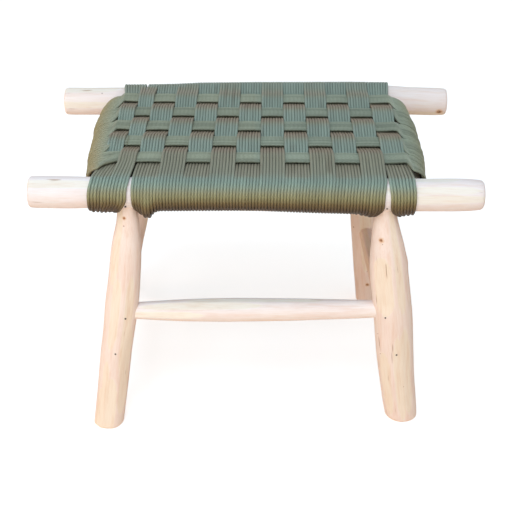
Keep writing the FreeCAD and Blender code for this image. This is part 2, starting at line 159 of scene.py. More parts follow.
def makeCordMaterial():
    # polyester braid: matt filaments with a faint satin, darker in the valleys of the plait
    material, tree = startMaterial("braidedPolyesterCord")
    unwrapped = addNode(tree, "UVMap", uv_map="UVMap").outputs["UV"]
    split = addNode(tree, "SeparateXYZ", {"Vector": unwrapped})
    around = addNode(tree, "Math", {0: split.outputs["Y"], 1: float(cordLook["strandTurns"])},
                     operation="MULTIPLY")
    leaning = []
    for operation in ("ADD", "SUBTRACT"):
        lean = addNode(tree, "Math", {0: split.outputs["X"], 1: around}, operation=operation)
        turn = addNode(tree, "Math", {0: lean, 1: math.pi}, operation="MULTIPLY")
        wave = addNode(tree, "Math", {0: turn}, operation="SINE")
        ridge = addNode(tree, "Math", {0: wave}, operation="ABSOLUTE")
        step = addNode(tree, "Math", {0: lean}, operation="FLOOR")
        leaning.append((ridge, step))
    total = addNode(tree, "Math", {0: leaning[0][1], 1: leaning[1][1]}, operation="ADD")
    over = addNode(tree, "Math", {0: total, 1: 2.0}, operation="FLOORED_MODULO")
    plait = addNode(tree, "Mix", {0: over, 2: leaning[0][0], 3: leaning[1][0]}, data_type="FLOAT")
    place = addNode(tree, "TexCoord").outputs["Object"]
    fibres, patches = [
        addNode(tree, "TexNoise", {"Vector": place, "Scale": scale, "Detail": detail}).outputs["Fac"]
        for scale, detail in (cordLook["fibres"], cordLook["patches"])]
    height = addNode(tree, "Math", {0: fibres, 1: cordLook["fibreShare"], 2: plait}, operation="MULTIPLY_ADD")
    tone, facing, flank = [addNode(tree, "Attribute", attribute_name=key).outputs["Fac"]
                           for key in ("cordToneAndPaintedLight", "facing", "flank")]
    mixed = addNode(tree, "Math", {0: patches, 1: cordLook["patchShare"], 2: tone}, operation="MULTIPLY_ADD")
    color = setRamp(addNode(tree, "ValToRGB", {"Fac": mixed}), cordLook["dye"])
    color = tint(tree, color, cordLook["valley"], height)
    # painted light: a bluer painted reflection on turns that face up, browner painted shade on those that face
    # down
    shades = [((degrees + 90) / 360, shade) for degrees, shade in cordLook["facingPaintedLight"]]
    color = tint(tree, color, shades, facing)
    # painted shade on the flanks, where neighbouring cords shade each other
    color = tint(tree, color, cordLook["grooveShade"], flank)
    bump = addNode(tree, "Bump", {"Height": height, "Strength": 0.6, "Distance": 0.0004})
    shader = addNode(tree, "BsdfPrincipled", {
        "Base Color": color, "Normal": bump, "Roughness": 0.45, "IOR": 1.5,
        "Specular IOR Level": 0.25, "Sheen Weight": 0.06, "Sheen Roughness": 0.4,
        "Sheen Tint": linearColor("#c4e2e2")})
    addNode(tree, "OutputMaterial", {"Surface": shader})
    return material


cordMaterial = makeCordMaterial()


def facingOf(centres, outward, across):
    # degrees that each ring faces up (0 forwards, beyond 90 to the rear), for the painted light by facing, and
    # how much painted light lifts its tone on the side rails
    if not across[0]:
        rise = numpy.degrees(numpy.arctan2(outward[..., 2], numpy.abs(outward[..., 0])))
        facings = [numpy.interp(rise, (-90, 0, 90), cordLook["sideFacing"][end]) for end in ("left", "right")]
        paintedSideLight = numpy.interp(centres[..., 0], *zip(*cordLook["sidePaintedLight"]))
        return numpy.where(centres[..., 0] < 0, *facings), paintedSideLight
    lag, roll = cordLook["lag"], cordLook["rearRoll"]
    lean = numpy.degrees(numpy.arctan2(outward[..., 2], -outward[..., 1]))
    lean = numpy.where(lean < -90, lean + 360, lean)
    place, onTop = centres[..., 1], centres[..., 2] > seat["railHeight"] * mm
    rear = (place > roll["place"]) & (lean > roll["low"]) & (lean < roll["high"])
    lagging = sum(numpy.roll(lean, k, axis=1) for k in lag["rings"]) / len(lag["rings"])
    lean = numpy.where(onTop & (place > lag["front"]) & (place < lag["rear"]), lagging, lean)
    foremost = onTop & (abs(place - seat["rows"][-1] * mm) < cordLook["nearRow"])
    crest = numpy.where(foremost, centres[..., 2], 0).max(axis=1)
    over = (crest > (seat["railHeight"] + seat["rise"]) * mm)[:, None]
    leasts = [numpy.interp(place, *zip(*cordLook["frontFacing"][way])) for way in ("over", "under")]
    lean = numpy.where(onTop, numpy.maximum(lean, numpy.where(over, *leasts)), lean)
    lean = numpy.where(rear, roll["least"] + lean * roll["share"], lean)
    return lean, 0 * lean


def makeCords(name, paths, width, across, tones, *nodes):
    # closed cords side by side: one spline each, then a mesh whose UV runs along in braid periods
    curve = bpy.data.curves.new(name, "CURVE")
    curve.dimensions = "3D"
    curve.bevel_depth = width / 2 * mm
    curve.bevel_resolution = 2
    curve.resolution_u = 3
    for path in paths:
        spline = curve.splines.new("NURBS")
        spline.points.add(len(path) - 1)
        for point, place in zip(spline.points, path):
            point.co = (*(value * mm for value in place), 1)
        spline.order_u = 3
        spline.use_cyclic_u = True
    drawn = addObject(name, curve)
    mesh = bpy.data.meshes.new_from_object(drawn.evaluated_get(bpy.context.evaluated_depsgraph_get()))
    bpy.data.objects.remove(drawn)
    rings = len(paths[0]) * curve.resolution_u
    sides = len(mesh.vertices) // len(paths) // rings
    places = numpy.empty(len(mesh.vertices) * 3)
    mesh.vertices.foreach_get("co", places)
    centres = places.reshape(len(paths), rings, sides, 3).mean(axis=2)
    lengths = numpy.linalg.norm(numpy.roll(centres, -1, axis=1) - centres, axis=2)
    along = numpy.concatenate([numpy.zeros((len(paths), 1)), numpy.cumsum(lengths, axis=1)], axis=1)
    # an even number of periods, so that the plait closes on itself
    periods = numpy.round(along[:, -1:] / (cordLook["period"] * mm) / 2) * 2
    along = along / along[:, -1:] * periods
    corners = numpy.empty(len(mesh.loops), dtype=numpy.int32)
    mesh.loops.foreach_get("vertex_index", corners)
    spline = corners // (rings * sides)
    ring = (corners % (rings * sides) // sides).reshape(-1, 4)
    last = (ring.max(axis=1) - ring.min(axis=1) > 1)[:, None] & (ring == 0)
    ring = numpy.where(last, rings, ring).reshape(-1)
    layer = mesh.uv_layers[0]
    unwrapped = numpy.empty(len(mesh.loops) * 2)
    layer.uv.foreach_get("vector", unwrapped)
    unwrapped[0::2] = along[spline, ring]
    layer.uv.foreach_set("vector", unwrapped)
    ahead = numpy.roll(centres, -1, axis=1) - numpy.roll(centres, 1, axis=1)
    lean, paintedSideLight = facingOf(centres, numpy.cross(ahead, across), across)
    arms = places.reshape(len(paths), rings, sides, 3) - centres[:, :, None, :]
    values = {
        # the cord's own random tone, plus painted light on the side rails' outer turns
        "cordToneAndPaintedLight": numpy.repeat(numpy.array([[random.uniform(*tones)] for path in paths]) + paintedSideLight, sides),
        "facing": numpy.repeat((lean + 90) / 360, sides),
        "flank": numpy.abs(arms @ numpy.array(across)) / (width / 2 * mm),
    }
    for key, value in values.items():
        mesh.attributes.new(key, "FLOAT", "POINT").data.foreach_set("value", value.ravel())
    return addPiece(name, mesh, cordMaterial, "green cord", *nodes)


# the seat: the first cord goes round both rails, the second across them
seat = {
    "railHeight": 362.0,
    "railY": 165.0,
    "railRadius": {"front": 21.6, "rear": 21.5},
    "rise": 23.9,          # middle of the weave above the rails' axes
    "lift": 5.93,          # how far the warp bends over and under a row
    # bend of the warp beside the middle of a row: distance, share of the lift
    "crest": ((20, 0.36), (8.5, 1.0), (-8.5, 1.0), (-20, 0.36)),
    "rows": (114.4, 59.2, 6.4, -48.4, -103.3),
    "cord": 4.3,
    "turns": (6, 6, 8, 8, 8, 8, 8, 8, 8, 8, 8, 8, 8),
    "tones": (0.1, 0.3),
    # least spacing of cords pushed aside by an opening, by its width: at last they lie in two layers
    "squeeze": ((7, 3.85), (27, 2.6)),
    "free": 3.6,           # below this spacing every second cord rides out over its neighbours
    "ride": 0.7,
    "wander": 0.15,        # unevenness of the turns, to each side and up and down
    "liftWander": 0.25,
    "rollStep": 15,        # degrees between the stations round a rail
    "nearRail": {"front": (-150, -136), "rear": (136, 150)},    # stations beside the rails, below
    "ends": (-140, 140),   # the front rail's turns lie in front of the first place, the rear rail's behind
    # lumps of crossing turns under the front rail: x, half width, how far they stand out
    "lumps": ((-142, 8, 8.2), (152, 7, 2.3), (187, 8, 2.0), (-178, 5, 3.0), (-200, 3, 1.2)),
    "lumpSwing": (0.3, 1.1, 1.5),    # they grow from this share of facing up, over this range, by this power
    # the front rail is thinner below towards the middle: how much higher the turns lie there, by x
    "belly": ((-219, 2.6), (-120, 2.8), (-20, 4.2), (10, 4.0), (50, 2.2), (90, 0.9), (130, 0.0)),
    "railGap": 0.12,
    # the rear rail's crook, by x
    "rearBow": ((-282, 0.0), (-200, -0.3), (-165, 0.2), (-125, 1.4), (-86, 3.6), (0, 5.2), (60, 5.6),
                (146, 6.4), (200, 6.0)),
    # edges of the three groups of cords that the front legs part, by the place along the seat
    "groupStarts": (0, 12, 92, 100),
    "topEdges": [
        # y, then low and high edge of the left, middle and right group
        (-189, -219, -168, -162.4, 167.8, 175.0, 208.5),
        (-175, -216, -164.9, -161.5, 170.6, 172.0, 207.6),
        (-150, -214.5, -162.9, -161.0, 171.2, 172.0, 207.5),
        (-122, -208, -160.6, -160.4, 171.8, 172.0, 206),
        (-48, -203, -159, -158.8, 170.4, 170.6, 202),
        (7, -201, -156.2, -156.0, 169.8, 170.0, 200),
        (58, -199.5, -155.3, -155.1, 169.6, 169.8, 199.5),
        (120, -200.5, -154.6, -154.4, 170.2, 170.4, 200.5),
        (165, -206, -154.2, -154.0, 171.1, 171.3, 205),
    ],
    "lowEdges": [
        (-165, -219, -168, -162.4, 167.8, 175.0, 208.5),
        (-136, -209, -161, -160.8, 172, 172.2, 207),
        (-122, -206, -160.6, -160.4, 172.2, 172.4, 206),
        (58, -203.5, -155.3, -155.1, 170.2, 170.4, 203.8),
        (165, -206, -154.2, -154.0, 171.1, 171.3, 205),
    ],
    # openings round the legs' necks: how many cords lie left of each, and its edges by height
    # on the rail and then by the place along the underside
    "openings": {
        "front": [
            {"left": 12,
             "rail": [(338, -185.8, -154.4), (341, -184.6, -155), (345, -178, -157.4), (351, -172.8, -159.6),
                      (357, -169.2, -161.2), (365, -166.8, -162), (383, -163.4, -162.6), (390, -163, -163)],
             "below": [(-165, -185.8, -154.4), (-150, -181, -156), (-136, -171, -159), (-122, -161, -160)]},
            {"left": 92,
             "rail": [(338, 155.8, 186.8), (341, 157.6, 185), (346, 165, 177.2), (351, 168.2, 175.9),
                      (357, 169.7, 175.3), (368, 170.4, 174.7), (380, 171.4, 173.2), (390, 172, 172.2)],
             "below": [(-165, 155.8, 186.8), (-150, 158, 183), (-136, 166, 177), (-122, 172, 172.2)]},
        ],
        "rear": [
            {"left": 8,
             "rail": [(338, -186.6, -155.4), (343, -184, -158), (350, -178, -165), (360, -172.6, -169.6),
                      (390, -171.6, -169.1)],
             "below": [(122, -171.4, -171.4), (136, -175, -168), (150, -182, -161), (165, -186.6, -155.4)]},
            {"left": 92,
             "rail": [(338, 155.4, 186.6), (343, 158, 184), (350, 165, 177), (360, 171, 171.2),
                      (390, 171, 171.2)],
             "below": [(122, 171.2, 171.2), (136, 168, 175), (150, 161, 182), (165, 155.4, 186.6)]},
        ],
    },
}


def spreadCords(edges, gaps):
    # places of the hundred cords side by side, moved clear of the gaps (cords to the left, low, high)
    places = []
    for group in range(len(seat["groupStarts"]) - 1):
        first, last = seat["groupStarts"][group], seat["groupStarts"][group + 1]
        low, high = edges[2 * group], edges[2 * group + 1]
        places += [low + (high - low) * (k + 0.5) / (last - first) for k in range(last - first)]
    half = seat["cord"] / 2
    for left, low, high in gaps:
        pitch = between(seat["squeeze"], high - low)[0]
        limit = low - half
        for cord in range(left - 1, -1, -1):
            places[cord] = min(places[cord], limit)
            limit = places[cord] - pitch
        limit = high + half
        for cord in range(left, len(places)):
            places[cord] = max(places[cord], limit)
            limit = places[cord] + pitch
    return places


def addStation(stations, y, z, places, outward, lifts=None):
    # every second cord rides out over its neighbours where they are squeezed together
    for cord, x in enumerate(places):
        gaps = [abs(x - places[other]) for other in (cord - 1, cord + 1) if 0 <= other < len(places)]
        tight = min(gaps + [seat["free"]])
        out = seat["ride"] * math.sqrt(seat["free"] ** 2 - tight ** 2) if cord % 2 else 0
        if y < seat["ends"][0] and outward[1] < seat["lumpSwing"][0]:
            first, over, power = seat["lumpSwing"]
            swing = min(1.0, (first - outward[1]) / over) ** power
            for middle, half, stand in seat["lumps"]:
                out += stand * swing * math.exp(-((x - middle) / half) ** 2)
        wander = random.uniform(-seat["wander"], seat["wander"])
        bow = between(seat["rearBow"], x)[0] if y > seat["ends"][1] else 0
        if y < seat["ends"][0]:
            bow = between(seat["belly"], x)[0] * (1 - outward[1]) / 2
        out += lifts[cord] if lifts else 0
        stations[cord].append((x + wander, y + outward[0] * out, z + bow + outward[1] * out))


def layWarp():
    stations = [[] for cord in range(seat["groupStarts"][3])]
    columns = [column for column, turns in enumerate(seat["turns"]) for turn in range(turns)]
    height, rise = seat["railHeight"], seat["rise"]
    for face in (1, -1):
        edges = seat["topEdges"] if face > 0 else seat["lowEdges"]
        rows = seat["rows"] if face > 0 else reversed(seat["rows"])
        for y in rows:
            row = seat["rows"].index(y)
            lifts = [seat["lift"] * (-1 if (row + column) % 2 == 0 else 1) for column in columns]
            lifts = [lift + random.uniform(-seat["liftWander"], seat["liftWander"]) for lift in lifts]
            for offset, share in seat["crest"]:
                place = y + offset * face
                gaps = [(seat["groupStarts"][2], *between(seat["topEdges"], place)[3:5])]
                addStation(stations, place, height + face * rise, spreadCords(between(edges, place), gaps),
                           (0, face), [lift * share for lift in lifts])
        end, side, quarter = ("front", -1, 90) if face > 0 else ("rear", 1, 270)
        reach = seat["railRadius"][end] + seat["railGap"] + seat["cord"] / 2
        reach = reach / math.cos(math.radians(seat["rollStep"] / 2))
        near, rolled = [], []
        for place in seat["nearRail"][end]:
            gaps = [(gap["left"], *between(gap["below"], place)) for gap in seat["openings"][end]]
            near.append((place, height - rise, spreadCords(between(seat["lowEdges"], place), gaps), (0, -1)))
        under = seat["topEdges"][0][0] if face > 0 else seat["railY"]
        for turn in range(180 // seat["rollStep"] + 1):
            angle = math.radians(quarter + seat["rollStep"] * turn)
            y = side * seat["railY"] + reach * math.cos(angle)
            z = height + reach * math.sin(angle)
            gaps = [(gap["left"], *between(gap["rail"], z)) for gap in seat["openings"][end]]
            places = spreadCords(between(seat["topEdges"], y if z > height else under), gaps)
            rolled.append((y, z, places, (math.cos(angle), math.sin(angle))))
        for station in (rolled + near if face > 0 else near + rolled):
            addStation(stations, *station)
    first = 0
    for column, turns in enumerate(seat["turns"]):
        makeCords(f"warpCords{column + 1:02d}", stations[first:first + turns], seat["cord"],
                  (1.0, 0.0, 0.0), seat["tones"], f"warp_band_{column + 1:02d}")
        first += turns


layWarp()
print("warp wound")

weft = {
    "over": (-13.2, -9.4, -5.7, -1.9, 1.9, 5.7, 9.4, 13.2),
    "nested": (-11.3, -7.5, -3.8, 3.8, 7.5, 11.3),
    "cord": 3.7,
    "layer": 1.7,          # height of the two layers in the middle of a row, less towards its edges
    "edge": 15.5,
    "flatten": 0.85,
    "wave": 0.5,           # how far a row bends over and under a column, from shoulder to shoulder
    "shoulder": 9,
    "wander": 0.2,
    "tones": (0.38, 0.72),
    # a fan's way round each side rail: distance from the middle, height above the rail's axis; its cords
    # part at "start" (rows over and under the last column, foremost row), by "slope" (foremost row apart)
    "fans": {
        "right": {"pitch": 3.826, "first": 93.1, "start": (202, 202.5, 205.5), "slope": (6.5, 12.0), "lead": (
            (206, -1.0), (216, -1.5), (224, 3.0), (232, 9.0)), "profile": (
            (182, 24.0), (192, 24.6), (199, 25.1), (203, 25.3), (206, 25.3), (209, 25.1), (213, 24.3),
            (218.5, 22.4), (226, 17.2), (231, 10.0), (232.4, 3.0)),
            # how far the turns are drawn in, by their place along the rail
            "drawn": ((-146, 6.6), (-120, 6.6), (-91, 3.6), (-30, -0.2), (42, 0.9), (90, 3.6), (104, 4.8),
                      (118, 5.4))},
        "left": {"pitch": 3.71, "first": 91.9, "start": (201.5, 202, 188), "slope": (6.0, 1.15), "lead": (
            (200, -2.0), (214, -6.0), (224, -1.5), (233, 8.0)), "profile": (
            (176, 24.0), (187, 24.7), (195, 25.1), (201, 25.3), (205, 25.3), (208.5, 25.1), (213.5, 24.3),
            (221, 21.6), (228, 16.2), (232.4, 9.4), (233.6, 3.0)),
            "drawn": ((-140, 9.5), (-127, 8.8), (-112, 7.6), (-88, 4.8), (-55, 2.2), (0, 0.2), (34, -0.6),
                      (92, 0.2), (104, 2.6), (116, 3.0))},
    },
    "lead": (-112, 28),    # where turns start to lie ahead by the fan's "lead", and the way to all of it
    "part": 16,            # way along a fan on which its two layers become one
    "climb": 3.2,          # rise of the foremost turns over the ends of the warp
    "climbFrom": (-122, 16),    # the place where that starts, and the way to its full height
    "climbRise": 20,       # it fades below this height over the rail's axis
    "bulge": 0.8,          # how far the middle of a fan stands out past its edges, and how much that varies
    "bulgeEdge": 0.4,      # share of it by which the edges lie in
    "bulgeFrom": (200, 34),     # where a fan starts to stand out, and the way to its full measure
    "bulgeLift": (0.35, 27),    # share of that which lifts the turns, at this height
    "stagger": 1.0,        # every second turn stands out further
    "uneven": 0.5,
}


def layWeft():
    starts = [sum(seat["turns"][:column]) for column in range(len(seat["turns"]))]
    for row, y in enumerate(seat["rows"]):
        foremost = row == len(seat["rows"]) - 1
        places = spreadCords(between(seat["topEdges"], y), [])
        offsets = [(offset, 1) for offset in weft["over"]] + [(offset, -1) for offset in weft["nested"]]
        offsets.sort(reverse=True)
        bulges = {end: random.uniform(-weft["bulge"], weft["bulge"]) for end in ("left", "right")}
        count = len(offsets)
        paths = []
        for cord, (offset, layer) in enumerate(offsets):
            apart = weft["layer"] * layer * (1 - weft["flatten"] * (offset / weft["edge"]) ** 2)
            straight = []
            for column, start in enumerate(starts):
                if column in (0, len(starts) - 1):
                    continue
                wave = weft["wave"] if (row + column) % 2 == 0 else -weft["wave"]
                group = places[start:start + seat["turns"][column]]
                middle = sum(group) / len(group)
                for x in (middle - weft["shoulder"], middle + weft["shoulder"]):
                    along = y + offset + random.uniform(-weft["wander"], weft["wander"])
                    straight.append((x, along, seat["rise"] + (apart + wave)))
            height = seat["railHeight"]
            turns = {}
            for end, fan in weft["fans"].items():
                fanY = fan["first"] + ((count - 1) / 2 - cord - count * row) * fan["pitch"]
                swell = weft["bulge"] * (math.sin(math.pi * (cord + 0.5) / count) - weft["bulgeEdge"])
                swell += bulges[end]
                swell += weft["stagger"] * (cord % 2) + random.uniform(-weft["uneven"], weft["uneven"])
                swell -= between(fan["drawn"], fanY)[0]
                ahead = max(0, (weft["lead"][0] - fanY) / weft["lead"][1])
                side = []
                for x, rise in fan["profile"]:
                    run = max(0, x - fan["start"][2 if foremost else row % 2]) * fan["slope"][foremost]
                    spare = apart * max(0, 1 - run / weft["part"])
                    spare += weft["uneven"] * (cord % 2) * min(1, run / weft["part"])
                    out = swell * max(0, (x - weft["bulgeFrom"][0]) / weft["bulgeFrom"][1])
                    aside = fanY + ahead * between(fan["lead"], x)[0] - y - offset
                    place = y + offset + max(-run, min(run, aside))
                    climb = min(1, max(0, (weft["climbFrom"][0] - place) / weft["climbFrom"][1]))
                    climb *= weft["climb"] * min(1, rise / weft["climbRise"]) ** 2
                    lift = weft["bulgeLift"][0] * out * rise / weft["bulgeLift"][1]
                    side.append(((x + out) * (1 if end == "right" else -1), place,
                                 rise + spare + climb + lift))
                turns[end] = side
            # over the top and round the right side rail, then back below and round the left one
            route = [(1, straight), (1, turns["right"]), (-1, turns["right"][::-1]), (-1, straight[::-1]),
                     (-1, turns["left"]), (1, turns["left"][::-1])]
            paths.append([(x, place, height + face * rise)
                          for face, part in route for x, place, rise in part])
        makeCords(f"weftCords{row + 1}", paths, weft["cord"], (0.0, 1.0, 0.0), weft["tones"],
                  f"weft_band_{row + 1}")


layWeft()
print("weft woven")


# peeled branches: noise sizes in millimetres across and along the grain, and detail
woodLook = {
    "patches": (24, 60, 3.0),
    "streaks": (6.0, 60, 4.0),
    "fibres": (1.0, 30, 2.0),     # a third of a millimetre wide, drawn at one millimetre
    "checks": (4.5, 60, 1.0),     # hairline cracks
    "skin": [(0.2, "#fbeeeb"), (0.45, "#fdf4f1"), (0.8, "#fdf6f0"), (1.0, "#fcf5ea")],
    "streakTint": [(0.3, "#f8eee6"), (0.5, "#fefcfa"), (0.7, "#ffffff")],
    "fibreTint": [(0.3, "#f3ebe3"), (0.55, "#ffffff")],
    "checkTint": [(0.22, "#b5977e"), (0.27, "#ffffff")],
    # scars of buds in cells of 16 mm round the branch and 53 mm along it, and the share without one
    "scars": (62.0, 62.0, 19.0),
    "bare": 0.42,
    "scarTint": [(0.045, "#b58d70"), (0.085, "#ffffff")],
    "knotTurn": 2,                # smaller knots, by radius, have no rings
    "knotWaver": (300.0, 0.8),    # noise scale of a knot's edge, and its share of the radius
    "knotReach": 2.2,
    "knotTint": [(0.36, "#d9b795"), (0.44, "#a97f60"), (0.52, "#f0dcc4"), (0.85, "#ffffff")],
    "yearRing": 0.0034,           # in metres: the real rings are 1.6 mm apart, drawn so that they show
    "endTint": [(0.1, "#f7ecdf"), (0.9, "#e6d2ba")],
    "pith": [(0.0012, "#b08a68"), (0.0024, "#ffffff")],
}


def makeWoodMaterial(name, knots, paintedLightTint):
    # peeled branch: near white, faint streaks along the grain, brown knots; the last tint of the whole branch
    # is painted light and shade, fitted to the photograph's view like the lamps
    material, tree = startMaterial(name)
    grain = addNode(tree, "Attribute", attribute_name="grainPoint").outputs["Vector"]
    place = addNode(tree, "TexCoord").outputs["Object"]

    def grainNoise(across, along, detail):
        space = addNode(tree, "Mapping", {
            "Vector": grain, "Scale": (1000 / across, 1000 / across, 1000 / along)}).outputs["Vector"]
        return addNode(tree, "TexNoise", {
            "Vector": space, "Scale": 1.0, "Detail": detail, "Roughness": 0.6}).outputs["Fac"]

    # the skin under the bark is pinkish, the drawknife's flats show the cream wood below
    patches = grainNoise(*woodLook["patches"])
    shaved, ends = [addNode(tree, "Attribute", attribute_name=key).outputs["Fac"]
                    for key in ("shaved", "endGrain")]
    depth = addNode(tree, "Math", {0: patches, 1: 0.7, 2: shaved}, operation="MULTIPLY_ADD")
    color = setRamp(addNode(tree, "ValToRGB", {"Fac": depth}), woodLook["skin"])
    streaks = grainNoise(*woodLook["streaks"])
    color = tint(tree, color, woodLook["streakTint"], streaks)
    fibres = grainNoise(*woodLook["fibres"])
    color = tint(tree, color, woodLook["fibreTint"], fibres, 0.4)
    color = tint(tree, color, woodLook["checkTint"], grainNoise(*woodLook["checks"]), 0.8)
    # the scars of buds
    space = addNode(tree, "Mapping", {"Vector": grain, "Scale": woodLook["scars"]}).outputs["Vector"]
    cells = addNode(tree, "TexVoronoi", {"Vector": space, "Scale": 1.0}).outputs
    chosen = addNode(tree, "Math", {0: cells["Color"], 1: woodLook["bare"]}, operation="GREATER_THAN")
    scarred = addNode(tree, "Math", {0: cells["Distance"], 1: chosen}, operation="ADD")
    color = tint(tree, color, woodLook["scarTint"], scarred, 0.75)
    # knots, with an uneven edge
    waver = addNode(tree, "TexNoise", {"Vector": place, "Scale": woodLook["knotWaver"][0], "Detail": 2.0})
    for knotPlace, radius, core in knots:
        away = addNode(tree, "VectorMath", {0: place, 1: [value * mm for value in knotPlace]},
                       operation="DISTANCE").outputs["Value"]
        radius, ringed = radius * mm, radius > woodLook["knotTurn"]
        uneven = addNode(tree, "Math", {
            0: waver.outputs["Fac"], 1: radius * woodLook["knotWaver"][1], 2: away},
            operation="MULTIPLY_ADD")
        share = addNode(tree, "Math", {0: uneven, 1: radius * woodLook["knotReach"]}, operation="DIVIDE")
        stops = [(0.26, core)] + woodLook["knotTint"] if ringed else [(0.3, core), (0.6, "#ffffff")]
        color = tint(tree, color, stops, share)
    # end grain
    flat = addNode(tree, "VectorMath", {0: grain, 1: (1, 1, 0)}, operation="MULTIPLY")
    radial = addNode(tree, "VectorMath", {0: flat}, operation="LENGTH").outputs["Value"]
    turn = addNode(tree, "Math", {0: radial, 1: math.tau / woodLook["yearRing"], 2: patches},
                   operation="MULTIPLY_ADD")
    rings = addNode(tree, "Math", {0: turn}, operation="SINE")
    cut = setRamp(addNode(tree, "ValToRGB", {"Fac": rings}), woodLook["endTint"])
    cut = tint(tree, cut, woodLook["pith"], radial)
    color = addNode(tree, "Mix", {0: ends, 6: color, 7: cut}, data_type="RGBA").outputs[2]
    # painted light and shade: a tint of the whole branch, cooler where the lamps light it from above, warmer
    # and darker in the seat's shade
    if paintedLightTint:
        color = addNode(tree, "Mix", {0: 1.0, 6: color, 7: linearColor(paintedLightTint)},
                        data_type="RGBA", blend_type="MULTIPLY").outputs[2]
    height = addNode(tree, "Math", {0: streaks, 1: 1.5, 2: fibres}, operation="MULTIPLY_ADD")
    bump = addNode(tree, "Bump", {"Height": height, "Strength": 0.3, "Distance": 0.0005})
    shader = addNode(tree, "BsdfPrincipled", {"Base Color": color, "Normal": bump, "Roughness": 0.66,
                                              "IOR": 1.5, "Specular IOR Level": 0.3})
    addNode(tree, "OutputMaterial", {"Surface": shader})
    return material


def evenRows(rows, spacing, passes):
    # resamples rows (x, y, z, diameter) at an even spacing and rounds off their corners
    lengths = [0.0]
    for low, high in zip(rows, rows[1:]):
        lengths.append(lengths[-1] + (Vector(high[:3]) - Vector(low[:3])).length)
    table = [(length, *row) for length, row in zip(lengths, rows)]
    count = round(lengths[-1] / spacing)
    even = [list(between(table, lengths[-1] * k / count)) for k in range(count + 1)]
    for turn in range(passes):
        even[1:-1] = [[(a + 2 * b + c) / 4 for a, b, c in zip(*three)]
                      for three in zip(even, even[1:], even[2:])]
    return even


# how every branch is drawn, and what a branch takes where it has no setting of its own
branch = {
    "spacing": 4.0,
    "passes": 9,           # of rounding off the corners between its rows
    "sides": 56,
    "aim": 4,              # a ring stands square to the line between the rings this many before and after
    "dome": 0.6,
    # rings of an end: how far in by the radius and by the edge's depth, and how far out by the dome
    # and by the depth
    "cap": ((0.96, 0, 1, 0), (0.66, 0, 1, 0), (0.33, 0, 0.8, 0), (0, 1.05, 0.5, 0), (0, 0.7, 0, 0),
            (0, 0.3, 0, -0.3), (0, 0.08, 0, -0.65)),
    "edges": (3.0, 3.0),
    "upright": 30,         # a leg's rings turn level below this height
    "flatCount": 9,
    "flatHalf": (45, 110),      # half length of the drawknife's flats, and their depth by the radius
    "flatDepth": (0.03, 0.065),
    "unevenWay": (1.3, 45),     # size of the unevenness round the branch and along it
    "uneven": 0.018,
    "solidFrom": 6,        # thinner necks are left round
    "seedStep": 17.3,      # between one branch's unevenness and the next
    "flatFade": 1.6,       # how fast a flat reaches its depth from its ends
    "flatRound": 0.5,      # least cosine to which a flat reaches round the branch
    "flatSkin": 0.015,     # cut by this share of the radius, the wood shows its inside
    "leastTip": 0.8,
}


def endRings(rows, end, settings):
    # rings of an end and of its rounded edge: place, width, share of end grain
    first, second = (rows[-1], rows[-2]) if end else (rows[0], rows[1])
    direction = (Vector(first[:3]) - Vector(second[:3])).normalized()
    depth, radius, dome = settings["edges"][end], first[3] / 2, branch["dome"]
    if end == 0 and settings.get("foot"):
        direction, dome = Vector((0, 0, -1)), 0.0
    cap = []
    for ofRadius, ofDepth, ofDome, sunk in branch["cap"]:
        inward = radius * ofRadius + depth * ofDepth
        centre = Vector(first[:3]) + direction * (dome * ofDome + depth * sunk)
        width = max(first[3] - 2 * inward, branch["leastTip"])
        cap.append((*centre, width, 1.0 if inward > depth else 0.0))
    return cap[::-1] if end else cap


def hewnReach(angle, travelled, radius, flats, settings):
    # how far the wood reaches, by the radius, and how deep it is shaved: its own unevenness, flats where
    # the drawknife took a shaving, and bulges round knots
    unevenRound, unevenAlong = branch["unevenWay"]
    grain = Vector((math.cos(angle) * unevenRound, math.sin(angle) * unevenRound, travelled / unevenAlong))
    grain += Vector((settings["seed"] * branch["seedStep"], 0, 0))
    reach, shaved = 1.0 + settings["uneven"] * noise.noise(grain), 0.0
    for flatAngle, middle, half, depth in flats:
        fade = 1 - ((travelled - middle) / half) ** 2
        if fade <= 0:
            continue
        turn = math.cos(angle - math.radians(flatAngle))
        cut = (1 - depth * min(1.0, fade * branch["flatFade"])) / max(turn, branch["flatRound"])
        if cut < reach:
            shaved = max(shaved, min(1.0, (reach - cut) / branch["flatSkin"]))
            reach = cut
    for bulgeAngle, middle, half, rise in settings.get("bulges", []):
        swing = math.acos(max(-1, min(1, math.cos(angle - math.radians(bulgeAngle)))))
        distance = ((travelled - middle) / half) ** 2 + (swing * radius / half) ** 2
        reach += rise / radius * math.exp(-distance)
    return reach, shaved


